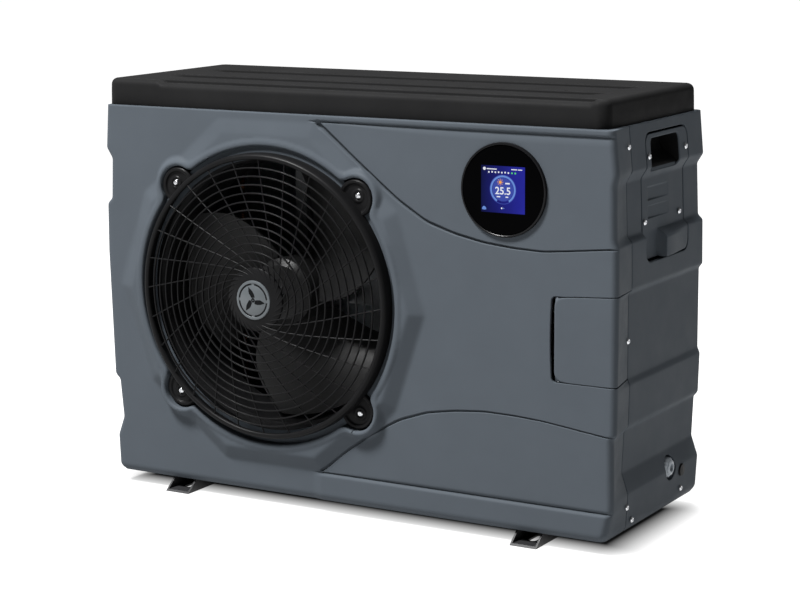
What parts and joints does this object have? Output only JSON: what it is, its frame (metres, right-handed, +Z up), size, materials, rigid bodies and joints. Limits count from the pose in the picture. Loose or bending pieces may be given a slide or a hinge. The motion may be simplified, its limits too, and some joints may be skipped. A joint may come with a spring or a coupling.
{
  "type": "pool heat pump unit",
  "caption": "Air-to-water pool heat pump in a banded moulded casing, with a domed spiral fan guard, round touch display, corner access door and steel foot rails.",
  "frame": {"origin": "on the ground under the middle of the casing", "axes": "+X to the right seen from the front, along the length; +Y to the back; +Z up"},
  "size_m": [0.9437, 0.4498, 0.69],
  "materials": {
    "casing_plastic": "matte, finely textured moulding",
    "cover_plastic": "satin, finely textured moulding",
    "black_plastic": "satin",
    "fan_plastic": "satin",
    "badge_plastic": "satin silver",
    "screw_steel": "bright zinc",
    "rail_steel": "black powder coat",
    "sheet_steel": "galvanised",
    "fin_aluminium": "coated",
    "copper": "drawn copper",
    "valve_brass": "machined",
    "coil_black": "moulded",
    "compressor_paint": "black enamel",
    "motor_paint": "resin packed",
    "rubber": "soft",
    "pvc_white": "moulded PVC",
    "pvc_dark": "moulded PVC",
    "titanium": "drawn titanium",
    "display_glass": "polished black",
    "screen": "lit liquid-crystal panel",
    "board_green": "solder mask",
    "gland_grey": "nylon"
  },
  "bodies": {
    "cabinet": {"accumulator": "compressor_paint", "base_pan": "sheet_steel", "blank_plug": "black_plastic", "board_components": "board_green", "cable_gland": "gland_grey", "casing_screws": "screw_steel", "compressor": "compressor_paint", "compressor_grommets": "rubber", "compressor_terminal_cap": "coil_black", "control_board": "board_green", "display_bezel": "black_plastic", "display_glass": "display_glass", "display_housing": "black_plastic", "display_screen": "screen", "drain_spout": "black_plastic", "electrical_lid": "sheet_steel", "electrical_tray": "sheet_steel", "evaporator_end_plates": "sheet_steel", "evaporator_fins": "fin_aluminium", "evaporator_tubes": "copper", "expansion_valve": "valve_brass", "expansion_valve_coil": "coil_black", "fan_guard": "black_plastic", "fan_motor": "motor_paint", "fan_shroud": "black_plastic", "foot_rail_bolts": "screw_steel", "front_panel": "casing_plastic", "gland_dome_nut": "gland_grey", "gland_locknut": "gland_grey", "guard_badge": "badge_plastic", "guard_screws": "screw_steel", "handle_cover": "casing_plastic", "left_foot_rail": "rail_steel", "left_side_panel": "casing_plastic", "motor_bracket": "sheet_steel", "motor_screws": "screw_steel", "partition_plate": "sheet_steel", "rear_grille": "black_plastic", "rear_panel": "casing_plastic", "refrigerant_pipes": "copper", "reversing_valve": "valve_brass", "reversing_valve_coil": "coil_black", "right_foot_rail": "rail_steel", "right_side_panel": "casing_plastic", "terminal_block": "gland_grey", "titanium_coil": "titanium", "top_cover": "cover_plastic", "vessel_stand": "sheet_steel", "water_fittings": "pvc_white", "water_sockets": "pvc_dark", "water_union_seals": "rubber", "water_vessel": "pvc_white"},
    "fan": {"impeller": "fan_plastic", "fan_shaft": "screw_steel", "impeller_nut": "screw_steel"},
    "door": {"access_door": "casing_plastic", "door_hinge_pin": "screw_steel", "door_screw": "screw_steel"},
    "inlet_nut": {"water_inlet_union_nut": "pvc_dark"},
    "outlet_nut": {"water_outlet_union_nut": "pvc_dark"}
  },
  "joints": [
    {"name": "fan_spin", "type": "hinge", "parent": "cabinet", "child": "fan", "pos_m": [-0.143, -0.098, 0.35], "axis": [0, 1, 0], "continuous": true},
    {"name": "door_swing", "type": "hinge", "parent": "cabinet", "child": "door", "pos_m": [0.3755, -0.17, 0.329], "axis": [0, 0, -1], "range_deg": [0, 85]},
    {"name": "inlet_nut_turn", "type": "hinge", "parent": "cabinet", "child": "inlet_nut", "pos_m": [0.222, 0.196, 0.142], "axis": [0, 1, 0], "continuous": true},
    {"name": "outlet_nut_turn", "type": "hinge", "parent": "cabinet", "child": "outlet_nut", "pos_m": [0.222, 0.196, 0.342], "axis": [0, 1, 0], "continuous": true}
  ]
}
